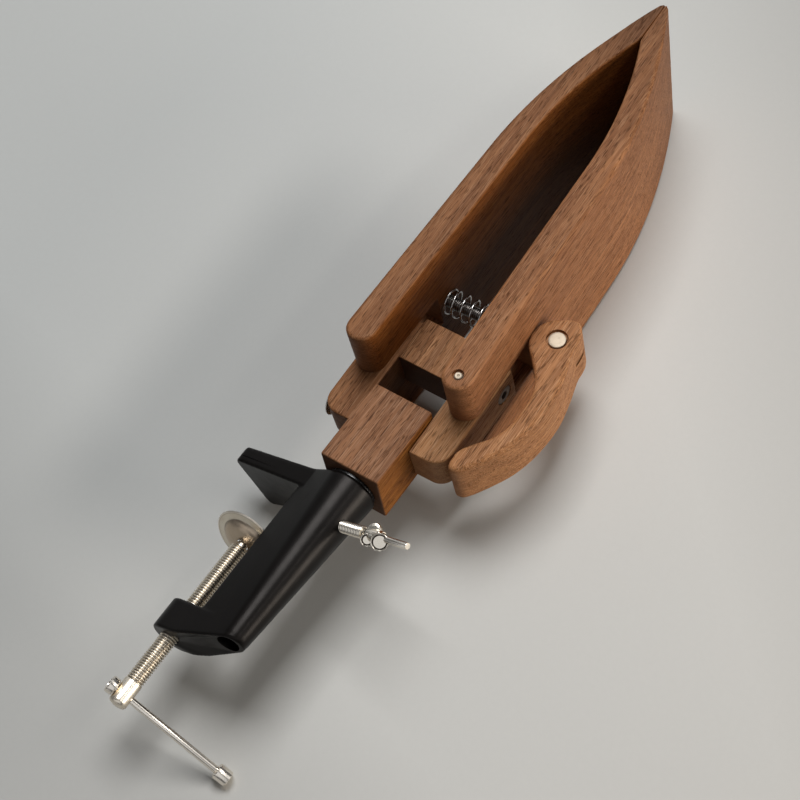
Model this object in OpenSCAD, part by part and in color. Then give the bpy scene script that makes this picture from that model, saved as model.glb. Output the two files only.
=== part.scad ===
// Leather stitching clamp: two curved hardwood jaws on a swivelling, tilting
// neck that stands on a small bench clamp.
// Frame: +Z is the bench clamp's post axis, X is the jaws' opening direction,
// -Y is the front. Origin: underside of the bench clamp's upper arm, on its
// middle line, 34 mm from the post's axis and 1 mm behind the pressure screw's.

/* [Jaws] */
// Depth of the jaws, front face to back face
jaw_d = 76; // [60:1:86]
// Outer half width of the jaws at their lower ends
jaw_xo = 32.2; // [31.9:0.1:32.6]
// Wall thickness of a jaw at its lower end
jaw_t = 14.6; // [13.8:0.2:15]
// Height where the jaws' outer faces begin to curve
jaw_zs = 160; // [150:1:170]
// Height of the jaws' tips
jaw_zt = 264.8; // [264.2:0.1:265]
// Diameter of the hinge pin of the moving jaw
hinge_d = 4.3; // [3:0.1:5]

/* [Cheeks and neck] */
// Depth of the two cheeks and of the cross block
cheek_d = 20.8; // [18:0.2:22]
// Thickness of a cheek
cheek_t = 16.9; // [16.5:0.1:17]
// Width of the neck block
neck_w = 30; // [28:0.5:30]
// Depth of the neck block
neck_d = 29; // [26:0.5:32]
// Height of the neck block
neck_h = 41.4; // [40:0.2:43]
// Diameter of the swivel post
post_d = 12; // [10:0.5:13]
// Forward tilt of the head, in degrees
tilt = 3.5; // [0:0.5:20]

/* [Draw bar and lever] */
// Height of the draw bar above the neck block's underside
rod_z = 99.5; // [98:0.5:101]
// Diameter of the draw bar and of the tilt bolt
rod_d = 5.9; // [5:0.1:6]
// Coils of the jaw spring
spring_n = 8; // [5:1:10]
// Thickness of the lever
lever_w = 27; // [20:1:30]
// Distance of the lever's cross pin from the middle of the head
pin_x = 42.3; // [42:0.1:43]

/* [Bench clamp] */
// Turn of the bench clamp about its post, in degrees
turn = 26; // [0:1:60]
// Distance from the post's axis to the pressure screw's axis
reach = 35; // [34.5:0.5:36]
// Half width of the upper arm near its end
arm_w = 15.7; // [13:0.1:17]
// Diameter of the pressure screw
screw_d = 8.2; // [7:0.1:8.4]
// Radius of the pressure cup
cup_r = 16; // [14:0.2:16.4]
// Diameter of the tommy bar
bar_d = 3.3; // [2.5:0.1:3.6]

/* [Hidden] */
$fn = 64;
e = 0.01;
run = 0.05;          // radial running clearance of a pin
arm_z = 10.5;        // post's top above the arm's underside
lift = 1.72;         // neck block above the post's top
pivot_z = 32;        // tilt bolt above the neck block's underside
seat_x = 30.2;       // flat seat of the tension washer
org_x = 34;          // post's axis to the frame's origin
post_x = org_x * cos(turn);
post_y = -org_x * sin(turn);
screw_low = 129.7;   // depth of the pressure screw's head end below the post's top
bar_z = 124.15;
bar_turn = 58.2;

// ---- frames ----
module clamp_frame() { rotate([0, 0, -turn]) translate([org_x, 0, arm_z]) children(); }
module neck_frame() { translate([post_x, post_y, arm_z + lift]) children(); }
module head_frame() {
    translate([post_x, post_y, arm_z + lift + pivot_z]) rotate([tilt, 0, 0])
        translate([0, 0, -pivot_z]) children();
}

// ---- helpers ----
function arc(cx, cy, r, a0, a1, n) =
    [for (i = [0:n]) let (a = a0 + (a1 - a0) * i / n) [cx + r * cos(a), cy + r * sin(a)]];
function cr(p0, p1, p2, p3, t) =
    0.5 * (2 * p1 + (p2 - p0) * t + (2 * p0 - 5 * p1 + 4 * p2 - p3) * t * t
        + (3 * p1 - p0 - 3 * p2 + p3) * t * t * t);
// smooth open curve through a list of points, n steps a span
function flow(p, n) = [for (i = [0:len(p) - 2]) for (k = [0:n - 1])
    cr(p[max(i - 1, 0)], p[i], p[i + 1], p[min(i + 2, len(p) - 1)], k / n)];
module rrect(x, y, r) {
    polygon(concat(arc(x / 2 - r, y / 2 - r, r, 0, 90, 6), arc(-x / 2 + r, y / 2 - r, r, 90, 180, 6),
        arc(-x / 2 + r, -y / 2 + r, r, 180, 270, 6), arc(x / 2 - r, -y / 2 + r, r, 270, 360, 6)));
}
// extrude an x-z outline about the middle of the head
module slab(d) { rotate([90, 0, 0]) linear_extrude(height = d, center = true) children(); }
module xrod(r, x0, x1, z = 0) { translate([x0, 0, z]) rotate([0, 90, 0]) cylinder(r = r, h = x1 - x0); }
module yrod(r, y0, y1, x = 0, z = 0) { translate([x, y1, z]) rotate([90, 0, 0]) cylinder(r = r, h = y1 - y0); }

// ---- jaws ----
function xo(z) = z < jaw_zs ? jaw_xo - 3.2 * (z - 53.2) / 106.8
    : let (u = z - jaw_zs) jaw_xo - 3.2 * (jaw_zs - 53.2) / 106.8 - 0.03 * u - u * u / 452;
function xi(z) = let (b = jaw_xo - jaw_t + 0.1) z < 170 ? b - 1.9 * (z - 53.2) / 116.8
    : let (u = z - 170) max(0.05, b - 1.9 - 0.02 * u - u * u / 368);
jaw_r = (xo(53.2) - xi(53.2)) / 2;
jaw_cx = (xo(53.2) + xi(53.2)) / 2;
function jaw_outline() = concat(
    [for (z = [53.2, 80, 107, 134, for (q = [jaw_zs:4:jaw_zt - 1.5]) q]) [xo(z), z]],
    [[max(xo(jaw_zt - 0.5), 1), jaw_zt - 0.5], [0.75, jaw_zt], [0.35, jaw_zt - 0.1], [0.05, jaw_zt - 0.6]],
    [for (z = [243.2:-4:171.2]) [xi(z), z]], [for (z = [170, 130, 90]) [xi(z), z]],
    arc(jaw_cx, 53.2, jaw_r, 180, 345, 22));
module jaw_blank(slot) {
    difference() {
        slab(jaw_d) polygon(jaw_outline());
        translate([0, -slot / 2, 30]) cube([60, slot, 63]);
    }
}
module right_jaw() {
    color([0.42, 0.23, 0.14]) head_frame() difference() {
        jaw_blank(cheek_d + 0.6);
        xrod(3.7, 8, 40, rod_z);
        yrod(hinge_d / 2, -50, 50, jaw_cx, 53.2);
        yrod(2.7, -50, -jaw_d / 2 + 0.6, jaw_cx, 53.2);
        yrod(2.7, jaw_d / 2 - 0.6, 50, jaw_cx, 53.2);
    }
}
module left_jaw() {
    color([0.42, 0.23, 0.14]) head_frame() mirror([1, 0, 0]) difference() {
        jaw_blank(cheek_d);
        xrod(3.4, 8, 40, rod_z);
        xrod(7, seat_x, 40, rod_z);
        yrod(hinge_d / 2, -24, 24, jaw_cx, 53.2);
    }
}
module jaw_hinge_pin() {
    color([0.8, 0.79, 0.75]) head_frame() difference() {
        yrod(hinge_d / 2, -jaw_d / 2 + 0.4, jaw_d / 2 - 0.4, jaw_cx, 53.2);
        translate([jaw_cx, -jaw_d / 2 + 0.1, 53.2]) sphere(r = 0.8);
    }
}
module jaw_dowel() {
    color([0.5, 0.3, 0.2]) head_frame() yrod(hinge_d / 2, -24, 24, -jaw_cx, 53.2);
}

// ---- cheeks, cross block and their fasteners ----
cheek_x = neck_w / 2 + 0.35;
module cheek_blank() {
    slab(cheek_d) polygon(concat([[cheek_x, 79], [cheek_x, 22.6]],
        arc(cheek_x + cheek_t - 8, 30.6, 8, 270, 360, 10),
        [[cheek_x + cheek_t, 77.5], [cheek_x + cheek_t - 1.5, 79]]));
    }
module cheek_holes(bolt_end = 50) {
    xrod(rod_d / 2, 0, bolt_end, pivot_z);
    xrod(2, 0, 50, 70.5);
    translate([cheek_x + cheek_t - 2.9, 0, 70.5]) rotate([0, 90, 0]) cylinder(r1 = 2, r2 = 4.9, h = 2.9 + e);
}
module right_cheek() {
    color([0.42, 0.24, 0.15]) head_frame() difference() {
        cheek_blank();
        // blind: the bolt's nut sits in a pocket of the inner face
        cheek_holes(cheek_x + 12.3);
        translate([cheek_x - 1, 0, pivot_z]) rotate([0, 90, 0]) cylinder(r = 5.9, h = 6.2, $fn = 6);
        yrod(hinge_d / 2 + run, -30, 30, jaw_cx, 53.2);
    }
}
module left_cheek() {
    color([0.42, 0.24, 0.15]) head_frame() mirror([1, 0, 0]) difference() {
        cheek_blank();
        cheek_holes();
        yrod(hinge_d / 2, -30, 30, jaw_cx, 53.2);
    }
}
module cross_block() {
    color([0.43, 0.24, 0.15]) head_frame() difference() {
        translate([0, 0, 59.5]) linear_extrude(height = 22.5) square([2 * cheek_x, cheek_d], center = true);
        xrod(2, 4, 20, 70.5);
        xrod(2, -20, -4, 70.5);
    }
}
module cheek_screw() {
    difference() {
        union() {
            xrod(2, 4, cheek_x + cheek_t - 2.85, 70.5);
            translate([cheek_x + cheek_t - 2.9, 0, 70.5]) rotate([0, 90, 0]) cylinder(r1 = 2, r2 = 4.9, h = 2.9);
        }
        translate([cheek_x + cheek_t - 1.9, 0, 70.5]) rotate([0, 90, 0]) cylinder(r = 1.75, h = 4, $fn = 6);
    }
}
module cheek_screws() {
    color([0.3, 0.29, 0.28]) head_frame() { cheek_screw(); mirror([1, 0, 0]) cheek_screw(); }
}
module tilt_bolt() {
    color([0.75, 0.74, 0.7]) head_frame() {
        xrod(rod_d / 2, -cheek_x - cheek_t, cheek_x + 12, pivot_z);
        difference() {
            xrod(7.8, -cheek_x - cheek_t - 1.8, -cheek_x - cheek_t, pivot_z);
            translate([-cheek_x - cheek_t - 2, 0, pivot_z]) rotate([0, 90, 0]) cylinder(r = 2.3, h = 1.5, $fn = 6);
        }
    }
}
module tilt_nut() {
    color([0.7, 0.69, 0.66]) head_frame() difference() {
        translate([cheek_x + 0.3, 0, pivot_z]) rotate([0, 90, 0]) cylinder(r = 5.7, h = 4.8, $fn = 6);
        xrod(rod_d / 2, 0, 50, pivot_z);
    }
}
module friction_washer() {
    difference() {
        xrod(8, neck_w / 2 + 0.05, cheek_x, pivot_z);
        xrod(rod_d / 2, 0, 50, pivot_z);
    }
}
module friction_washers() {
    color([0.2, 0.2, 0.2]) head_frame() { friction_washer(); mirror([1, 0, 0]) friction_washer(); }
}

// ---- neck ----
module neck_block() {
    color([0.42, 0.23, 0.14]) neck_frame() difference() {
        linear_extrude(height = neck_h) rrect(neck_w, neck_d, 2);
        translate([0, 0, -e]) cylinder(d = post_d, h = 24 + e);
        xrod(rod_d / 2 + run, -30, 30, pivot_z);
    }
}
module swivel_post() {
    color([0.7, 0.69, 0.66]) clamp_frame() difference() {
        translate([0, 0, -26]) cylinder(d = post_d, h = 26 + lift + 24);
        translate([0, 0, -21.2]) difference() {
            cylinder(d = post_d + 2, h = 5);
            translate([0, 0, -1]) cylinder(d = post_d - 0.8, h = 7);
        }
    }
}
module post_washer() {
    color([0.12, 0.12, 0.12]) clamp_frame() difference() {
        translate([0, 0, 0.08]) cylinder(r = 11.5, h = lift - 0.08);
        cylinder(d = post_d, h = 10, center = true);
    }
}

// ---- draw bar, spring, lever ----
module draw_rod() {
    color([0.78, 0.77, 0.74]) head_frame() xrod(rod_d / 2, -39.5, pin_x + 4.2, rod_z);
}
function coil_c(a) = let (s = a / 360 / spring_n, x0 = xi(rod_z) - 0.75)
    [-x0 + 2 * x0 * s, 5.9 * cos(a), 5.9 * sin(a)];
module draw_spring() {
    k = 20;
    m = 8;
    steps = spring_n * k;
    pts = [for (i = [0:steps]) let (a = i * 360 / k, c = coil_c(a)) for (j = [0:m - 1])
        let (b = j * 360 / m) c + 0.5 * (cos(b) * [0, cos(a), sin(a)] + sin(b) * [1, 0, 0])];
    faces = concat([[for (j = [0:m - 1]) j]], [[for (j = [m - 1:-1:0]) steps * m + j]],
        [for (i = [0:steps - 1]) for (j = [0:m - 1])
            [i * m + j, (i + 1) * m + j, (i + 1) * m + (j + 1) % m, i * m + (j + 1) % m]]);
    color([0.6, 0.6, 0.6]) head_frame() translate([0, 0, rod_z])
        polyhedron(points = pts, faces = faces, convexity = 10);
}
module tension_washer() {
    color([0.75, 0.74, 0.7]) head_frame() difference() {
        xrod(6.2, -seat_x - 1, -seat_x, rod_z);
        xrod(3.2, -50, 0, rod_z);
    }
}
module tension_nut() {
    color([0.75, 0.74, 0.7]) head_frame() difference() {
        union() {
            translate([-seat_x - 6.1, 0, rod_z]) rotate([0, 90, 0]) cylinder(r = 5.77, h = 5, $fn = 6);
        }
        xrod(rod_d / 2 + run, -50, 0, rod_z);
    }
}
// lever outline: inner edge, round end, outer edge, head
lever_in = [[31.15, 99], [31.15, 96.2], [31.7, 93.4], [33.6, 90.1], [38.4, 85.2], [44.6, 77.4],
    [47.2, 70], [47.8, 61.9], [47, 53.4], [43.5, 45], [38.4, 38.6], [34.8, 33.3], [33.9, 28.3],
    [34.6, 24.8], [36.8, 23.2], [40.1, 24.3], [44.1, 29.2], [48.7, 36.3], [52.5, 43.5], [55.2, 51.5],
    [56.8, 60], [57.4, 68], [57.2, 75], [56.2, 81], [54.8, 87], [53.4, 91.5], [52.3, 95.3],
    [51.6, 98.5], [51.5, 101.5], [51.1, 104.5], [50.1, 107.3], [48.4, 109.9], [46.2, 111.5],
    [43.3, 111.5], [40.5, 110.2], [37.8, 108.6], [35.3, 107.1], [33.3, 105], [32, 102.8], [31.4, 100.8]];
module lever() {
    color([0.43, 0.25, 0.15]) head_frame() difference() {
        slab(lever_w) polygon(flow(concat(lever_in, [lever_in[0]]), 3));
        // fork round the draw bar, with a saw kerf through its outer side
        slab(7) polygon([[26, 91], [47.8, 93.4], [47.8, 116], [26, 116]]);
        slab(2.6) polygon([[46, 97.5], [58, 99], [58, 116], [46, 116]]);
        yrod(4 + run, -30, 30, pin_x, rod_z);
        yrod(5, -30, -lever_w / 2 + 0.5, pin_x, rod_z);
        yrod(5, lever_w / 2 - 0.5, 30, pin_x, rod_z);
    }
}
module lever_cross_pin() {
    color([0.8, 0.79, 0.75]) head_frame() difference() {
        yrod(4, -lever_w / 2 + 0.1, lever_w / 2 - 0.1, pin_x, rod_z);
        xrod(rod_d / 2, 0, pin_x + 4.2, rod_z);
    }
}

// ---- bench clamp ----
foot_x = -reach + 0.9;
module pad_outline(t = 0) {
    r = 3 - t;
    polygon(concat([[-12, -8.7 + t]], arc(-55.5, -arm_w + 3, r, 278, 180, 8),
        arc(-55.5, arm_w - 3, r, 180, 82, 8), [[-12, 8.7 - t]]));
}
module clamp_body() {
    color([0.08, 0.08, 0.08]) clamp_frame() difference() {
        union() {
            // round post, tapering towards the foot, drawn out to the throat's wall
            hull() {
                translate([0, 0, -0.8]) cylinder(r = 11.9, h = 0.8, $fn = 64);
                translate([0, 0, -1.8]) cylinder(r = 12.7, h = 1, $fn = 64);
                translate([2.6, -2.2, -85.8]) cylinder(r = 6.4, h = 1, $fn = 48);
                translate([-19.4, -8.7, -88]) cube([0.5, 17.4, 85.6]);
            }
            // upper arm: flange, fine groove and the block above it
            translate([0, 0, -arm_z]) linear_extrude(height = 3) pad_outline();
            translate([0, 0, -7.7]) linear_extrude(height = 0.6) pad_outline(0.4);
            hull() {
                translate([0, 0, -7.2]) linear_extrude(height = 3.6) pad_outline();
                translate([0, 0, -2.8]) linear_extrude(height = 0.6) pad_outline(0.9);
                translate([-12, -7.8, -1]) cube([4, 15.6, 1]);
            }
            // foot with the pressure screw's boss, its underside sloping up to the post
            hull() {
                translate([foot_x, 0, -94]) cylinder(r = 9.3, h = 0.5, $fn = 48);
                translate([foot_x, 0, -79.4]) cylinder(r = 9.3, h = 1, $fn = 48);
                translate([-17, 0, -91.9]) rotate([0, -14.3, 0]) cylinder(r = 8.4, h = 0.5, $fn = 48);
                translate([-17, 0, -79.4]) cylinder(r = 8.4, h = 1, $fn = 48);
                translate([2.6, -2.2, -86.9]) rotate([0, -14.3, 0]) cylinder(r = 6.4, h = 0.5, $fn = 48);
                translate([2.6, -2.2, -77]) cylinder(r = 6.4, h = 1, $fn = 48);
            }
        }
        translate([0, 0, -28]) cylinder(d = post_d + 2 * run + 0.02, h = 40);
        translate([-reach, 0, -110]) cylinder(d = screw_d + 2 * run, h = 60);
        translate([1.9, -2.5, -100]) cylinder(r = 5.1, h = 26);
        xrod(2.85, 0, 20, -18.7);
        // hollow in the throat's wall that lets the tilting cup pass
        translate([-reach, 0, -78.2]) cylinder(r = cup_r + 0.6, h = 78.2 - arm_z + e);
    }
}
module thumb_screw() {
    color([0.75, 0.73, 0.7]) clamp_frame() translate([0, 0, -18.7]) {
        xrod(2, 6.05, 7);
        xrod(2.8, 6.9, 24.6);
        xrod(2.2, 24.5, 28);
        // knobbly head: a hub and three round lobes
        difference() {
            union() {
                xrod(3.2, 26.6, 36.5);
                translate([28.4, 0, -2.6]) sphere(r = 3);
                translate([36.3, 0, -1.6]) sphere(r = 4.2);
                translate([29.8, -0.4, 2.7]) sphere(r = 3.2);
            }
            xrod(1.55, 34, 60);
        }
    }
}
module thumb_pin() {
    color([0.75, 0.73, 0.7]) clamp_frame() translate([0, 0, -18.7]) xrod(1.55, 34, 51.7);
}
module pressure_screw() {
    color([0.78, 0.77, 0.72]) clamp_frame() translate([-reach, 0, 0]) difference() {
        union() {
            translate([0, 0, -118]) cylinder(d = screw_d, h = 118 - 43.5);
            translate([0, 0, -44]) cylinder(r = 2.5, h = 4.6);
            translate([0, 0, -screw_low]) rotate_extrude() polygon([[0, 0.5], [1, 0.5], [1.1, 0], [2.9, 0],
                [screw_d / 2 + 0.1, 1.4], [screw_d / 2 + 0.1, 12.2], [screw_d / 2 - 0.2, 12.6], [0, 12.6]]);
        }
        rotate([0, 0, bar_turn]) xrod(bar_d / 2 + run, -10, 10, -bar_z);
    }
}
// saucer: a flat rim round a shallow dome, open towards the table; it hangs
// loose on the screw's neck and stands tilted
module pressure_cup() {
    dome = [for (i = [0:8]) let (a = i * 10) [3 + 9 * sin(a) / sin(80), -1.2 + 3.1 * (1 - cos(a)) / (1 - cos(80))]];
    color([0.75, 0.74, 0.72]) clamp_frame() translate([-reach, 0, -40.97]) rotate([0, -8.43, 0]) rotate([-13.5, 0, 0])
        rotate_extrude($fn = 72)
        polygon(concat(dome, [[cup_r - 0.4, 2.1], [cup_r, 2.5], [cup_r - 0.3, 2.9]],
            [for (i = [8:-1:0]) [min(dome[i][0], 11.6), dome[i][1] + 1]]));
}
module cup_rivet() {
    color([0.7, 0.69, 0.66]) clamp_frame() translate([-reach, 0, 0]) rotate_extrude()
        polygon([[0, -39.4], [3.9, -39.4], [3.6, -38.8], [2.4, -38.35], [0, -38.2]]);
}
module bar_frame() {
    clamp_frame() translate([-reach, 0, -bar_z]) rotate([0, 0, bar_turn]) children();
}
module tommy_bar() {
    color([0.78, 0.77, 0.72]) bar_frame() xrod(bar_d / 2, -7, 55.6);
}
module tommy_cap(r, x0, x1) {
    difference() {
        xrod(r, x0, x1);
        xrod(bar_d / 2, -7, 55.6);
    }
}
module tommy_caps() {
    color([0.78, 0.77, 0.72]) bar_frame() { tommy_cap(3.9, -8, -4.5); tommy_cap(3.65, 50.5, 57); }
}

clamp_body();
thumb_screw();
thumb_pin();
pressure_screw();
pressure_cup();
cup_rivet();
tommy_bar();
tommy_caps();
swivel_post();
post_washer();
neck_block();
left_cheek();
right_cheek();
cross_block();
cheek_screws();
tilt_bolt();
tilt_nut();
friction_washers();
left_jaw();
right_jaw();
jaw_hinge_pin();
jaw_dowel();
draw_rod();
draw_spring();
tension_washer();
tension_nut();
lever();
lever_cross_pin();
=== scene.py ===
import bpy, bmesh, math, random
from mathutils import Vector, Matrix, noise


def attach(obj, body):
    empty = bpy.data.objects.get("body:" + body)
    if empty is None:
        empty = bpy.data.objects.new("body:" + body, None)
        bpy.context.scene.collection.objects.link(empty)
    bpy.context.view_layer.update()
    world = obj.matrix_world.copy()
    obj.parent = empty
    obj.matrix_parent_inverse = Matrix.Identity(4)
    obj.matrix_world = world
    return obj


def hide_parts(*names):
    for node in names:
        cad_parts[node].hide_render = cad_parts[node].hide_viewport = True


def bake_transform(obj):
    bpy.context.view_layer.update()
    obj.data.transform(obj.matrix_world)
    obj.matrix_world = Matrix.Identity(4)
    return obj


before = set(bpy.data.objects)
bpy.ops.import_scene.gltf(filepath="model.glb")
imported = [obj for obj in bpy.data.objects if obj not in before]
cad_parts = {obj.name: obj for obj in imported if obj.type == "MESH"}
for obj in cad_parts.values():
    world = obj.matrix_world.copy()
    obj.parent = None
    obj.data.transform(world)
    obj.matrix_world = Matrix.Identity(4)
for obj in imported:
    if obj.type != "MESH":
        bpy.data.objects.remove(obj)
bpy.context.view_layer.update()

random.seed(7)
MM = 0.001

# ---------------------------------------------------------------- frames
def T(x, y, z): return Matrix.Translation((x * MM, y * MM, z * MM))
RX = lambda a: Matrix.Rotation(math.radians(a), 4, 'X')
RY = lambda a: Matrix.Rotation(math.radians(a), 4, 'Y')
RZ = lambda a: Matrix.Rotation(math.radians(a), 4, 'Z')
CLAMP = RZ(-26) @ T(34, 0, 10.5)
NECK = T(30.559, -14.905, 12.22)
HEAD = T(30.559, -14.905, 44.22) @ RX(3.5) @ T(0, 0, -32)
SCREW = CLAMP @ T(-35, 0, 0)
BAR = SCREW @ T(0, 0, -124.15) @ RZ(58.2)
THUMB = CLAMP @ T(0, 0, -18.7)

# ---------------------------------------------------------------- node helpers
class Nodes:
    def __init__(self, mat):
        self.t = mat.node_tree
        self.n = mat.node_tree.nodes
    def add(self, kind, **kw):
        nd = self.n.new(kind)
        for k, v in kw.items():
            setattr(nd, k, v)
        return nd
    def put(self, sock, v):
        if isinstance(v, bpy.types.NodeSocket):
            self.t.links.new(v, sock)
        else:
            sock.default_value = v
    def math(self, op, a, b=None, c=None, clamp=False):
        nd = self.add('ShaderNodeMath', operation=op, use_clamp=clamp)
        for i, v in enumerate((a, b, c)):
            if v is not None:
                self.put(nd.inputs[i], v)
        return nd.outputs[0]
    def mix(self, f, a, b, kind='RGBA', blend='MIX'):
        nd = self.add('ShaderNodeMix', data_type=kind)
        if kind == 'RGBA':
            nd.blend_type = blend
            ia, ib, o = 6, 7, 2
        else:
            ia, ib, o = 2, 3, 0
        self.put(nd.inputs[0], f)
        self.put(nd.inputs[ia], a)
        self.put(nd.inputs[ib], b)
        return nd.outputs[o]
    def ramp(self, f, stops, interp='LINEAR'):
        nd = self.add('ShaderNodeValToRGB')
        cr = nd.color_ramp
        cr.interpolation = interp
        while len(cr.elements) < len(stops):
            cr.elements.new(0.5)
        for e, (p, c) in zip(cr.elements, stops):
            e.position = p
            e.color = (c, c, c, 1) if isinstance(c, (int, float)) else (*c, 1)
        self.put(nd.inputs[0], f)
        return nd.outputs[0]
    def coords(self, scale=(1, 1, 1), loc=(0, 0, 0), rot=(0, 0, 0)):
        tc = self.add('ShaderNodeTexCoord')
        mp = self.add('ShaderNodeMapping')
        mp.inputs['Scale'].default_value = scale
        mp.inputs['Location'].default_value = loc
        mp.inputs['Rotation'].default_value = rot
        self.t.links.new(tc.outputs['Object'], mp.inputs['Vector'])
        return mp.outputs[0]
    def noise(self, vec, scale=1.0, detail=2.0, rough=0.5, dist=0.0):
        nd = self.add('ShaderNodeTexNoise')
        self.put(nd.inputs['Vector'], vec)
        nd.inputs['Scale'].default_value = scale
        nd.inputs['Detail'].default_value = detail
        nd.inputs['Roughness'].default_value = rough
        nd.inputs['Distortion'].default_value = dist
        return nd.outputs[0]
    def bump(self, h, strength, dist, normal=None):
        nd = self.add('ShaderNodeBump')
        nd.inputs['Strength'].default_value = strength
        nd.inputs['Distance'].default_value = dist
        self.put(nd.inputs['Height'], h)
        if normal is not None:
            self.put(nd.inputs['Normal'], normal)
        return nd.outputs[0]

def new_mat(name):
    m = bpy.data.materials.new(name)
    m.use_nodes = True
    N = Nodes(m)
    b = m.node_tree.nodes['Principled BSDF']
    return m, N, b

# ---------------------------------------------------------------- wood
def wood(name, seed, tone_and_light_tint=(1, 1, 1), streaks=1.0, tilt=(0, 0, 0), side=(1, 1, 1), inner_shade=0, underside_shade=1.0, tip_shade=1.0):
    """Oiled walnut: growth layers stacked along local Y, grain along local Z, fine dark pores."""
    m, N, b = new_mat(name)
    off = (seed * 0.137, seed * 0.251, seed * 0.317)
    slow = N.noise(N.coords((26, 60, 2.4), off, tilt), 1, 3, 0.55, 0.5)
    figure = N.noise(N.coords((150, 420, 6.0), (off[1], off[0], off[2]), tilt), 1, 3, 0.62, 0.8)
    streak = N.noise(N.coords((330, 760, 7.5), (off[2], off[0], off[1]), tilt), 1, 2, 0.55, 0.35)
    fibre = N.noise(N.coords((1500, 1900, 34), off, tilt), 1, 2, 0.55)
    hair = N.noise(N.coords((3000, 3000, 70), (off[2], off[1], off[0]), tilt), 1, 1, 0.5)
    pore_n = N.noise(N.coords((2150, 2450, 190), (off[0] + 3, off[1], off[2]), tilt), 1, 1.3, 0.5, 0.12)
    dens = N.ramp(streak, [(0.34, 0.0), (0.64, 1.0)])
    thr = N.math('MULTIPLY_ADD', dens, -0.080, 0.615)
    pores = N.math('MULTIPLY', N.math('SUBTRACT', pore_n, thr), 13.0, clamp=True)
    tc = N.add('ShaderNodeTexCoord')
    sp = N.add('ShaderNodeSeparateXYZ')
    m.node_tree.links.new(tc.outputs['Normal'], sp.inputs[0])
    endgrain = N.ramp(N.math('ABSOLUTE', sp.outputs[2]), [(0.55, 0.0), (0.9, 1.0)])
    flank_light = N.ramp(N.math('ABSOLUTE', sp.outputs[0]), [(0.5, 0.0), (0.95, 1.0)])
    pores = N.math('MULTIPLY', pores, N.math('SUBTRACT', 1.0, N.math('MULTIPLY', endgrain, 0.8)))
    # colour
    a = N.ramp(slow, [(0.28, (0.175, 0.068, 0.023)), (0.50, (0.262, 0.106, 0.037)), (0.74, (0.350, 0.150, 0.056))])
    c = N.ramp(figure, [(0.28, (0.135, 0.050, 0.017)), (0.46, (0.240, 0.096, 0.034)), (0.60, (0.315, 0.132, 0.049)), (0.78, (0.410, 0.184, 0.074))])
    col = N.mix(0.58, a, c)
    col = N.mix(N.ramp(streak, [(0.44, 0.0), (0.60, 0.46 * streaks)]), col, (0.120, 0.042, 0.014, 1))
    col = N.mix(N.ramp(fibre, [(0.36, 0.32), (0.56, 0.0)]), col, (0.105, 0.038, 0.013, 1))
    col = N.mix(N.ramp(hair, [(0.50, 0.0), (0.70, 0.42)]), col, (0.47, 0.255, 0.125, 1))
    col = N.mix(N.math('MULTIPLY', pores, 0.62), col, (0.046, 0.017, 0.007, 1))
    col = N.mix(N.math('MULTIPLY', endgrain, 0.35), col, (0.155, 0.062, 0.024, 1))
    # the tint is partly the piece's own tone, partly painted light: each piece made lighter or darker to how it is lit
    col = N.mix(1.0, col, (*tone_and_light_tint, 1), blend='MULTIPLY')
    # painted light and shade: faces turned to ±x are multiplied by the side tint, lighter or darker as light falls on
    # them
    col = N.mix(flank_light, col, N.mix(1.0, col, (*side, 1), blend='MULTIPLY'))
    so = N.add('ShaderNodeSeparateXYZ')
    m.node_tree.links.new(N.coords(), so.inputs[0])
    if inner_shade:
        # painted shade: faces towards the middle are darkened further back, where shade falls inside the head
        inward_shade_mask = N.ramp(N.math('MULTIPLY', sp.outputs[0], float(inner_shade)), [(0.3, 0.0), (0.8, 1.0)])
        depth_shade_mask = N.ramp(N.math('MULTIPLY_ADD', so.outputs[1], 14.0, 0.5), [(0.15, 0.0), (0.62, 1.0)])
        col = N.mix(N.math('MULTIPLY', N.math('MULTIPLY', inward_shade_mask, depth_shade_mask), 0.72), col, (0.024, 0.009, 0.003, 1))
    # painted shade: faces turned downwards are darkened
    if underside_shade < 1:
        below_shade_mask = N.ramp(N.math('MULTIPLY', sp.outputs[2], -1.0), [(0.4, 0.0), (0.8, 1.0)])
        col = N.mix(N.math('MULTIPLY', below_shade_mask, 1 - underside_shade), col, (0.012, 0.005, 0.003, 1))
    # painted shade: the colour darkens towards the upper end, where the light falls off; high carries this ramp
    if tip_shade < 1:
        high = N.ramp(N.math('MULTIPLY_ADD', so.outputs[2], 10.0, -1.75), [(0.0, 1.0), (0.85, tip_shade)])
        col = N.mix(1.0, col, high, blend='MULTIPLY')
    N.put(b.inputs['Base Color'], col)
    N.put(b.inputs['Roughness'], N.mix(pores, N.mix(fibre, 0.54, 0.64, 'FLOAT'), 0.85, 'FLOAT'))
    b.inputs['Specular IOR Level'].default_value = 0.16
    h = N.math('SUBTRACT', N.math('MULTIPLY', fibre, 0.30), N.math('MULTIPLY', pores, 0.9))
    n1 = N.bump(h, 0.45, 0.00014)
    broad = N.noise(N.coords((90, 90, 18), off, tilt), 1, 2, 0.5)
    N.put(b.inputs['Normal'], N.bump(broad, 0.22, 0.0004, n1))
    return m

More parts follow.
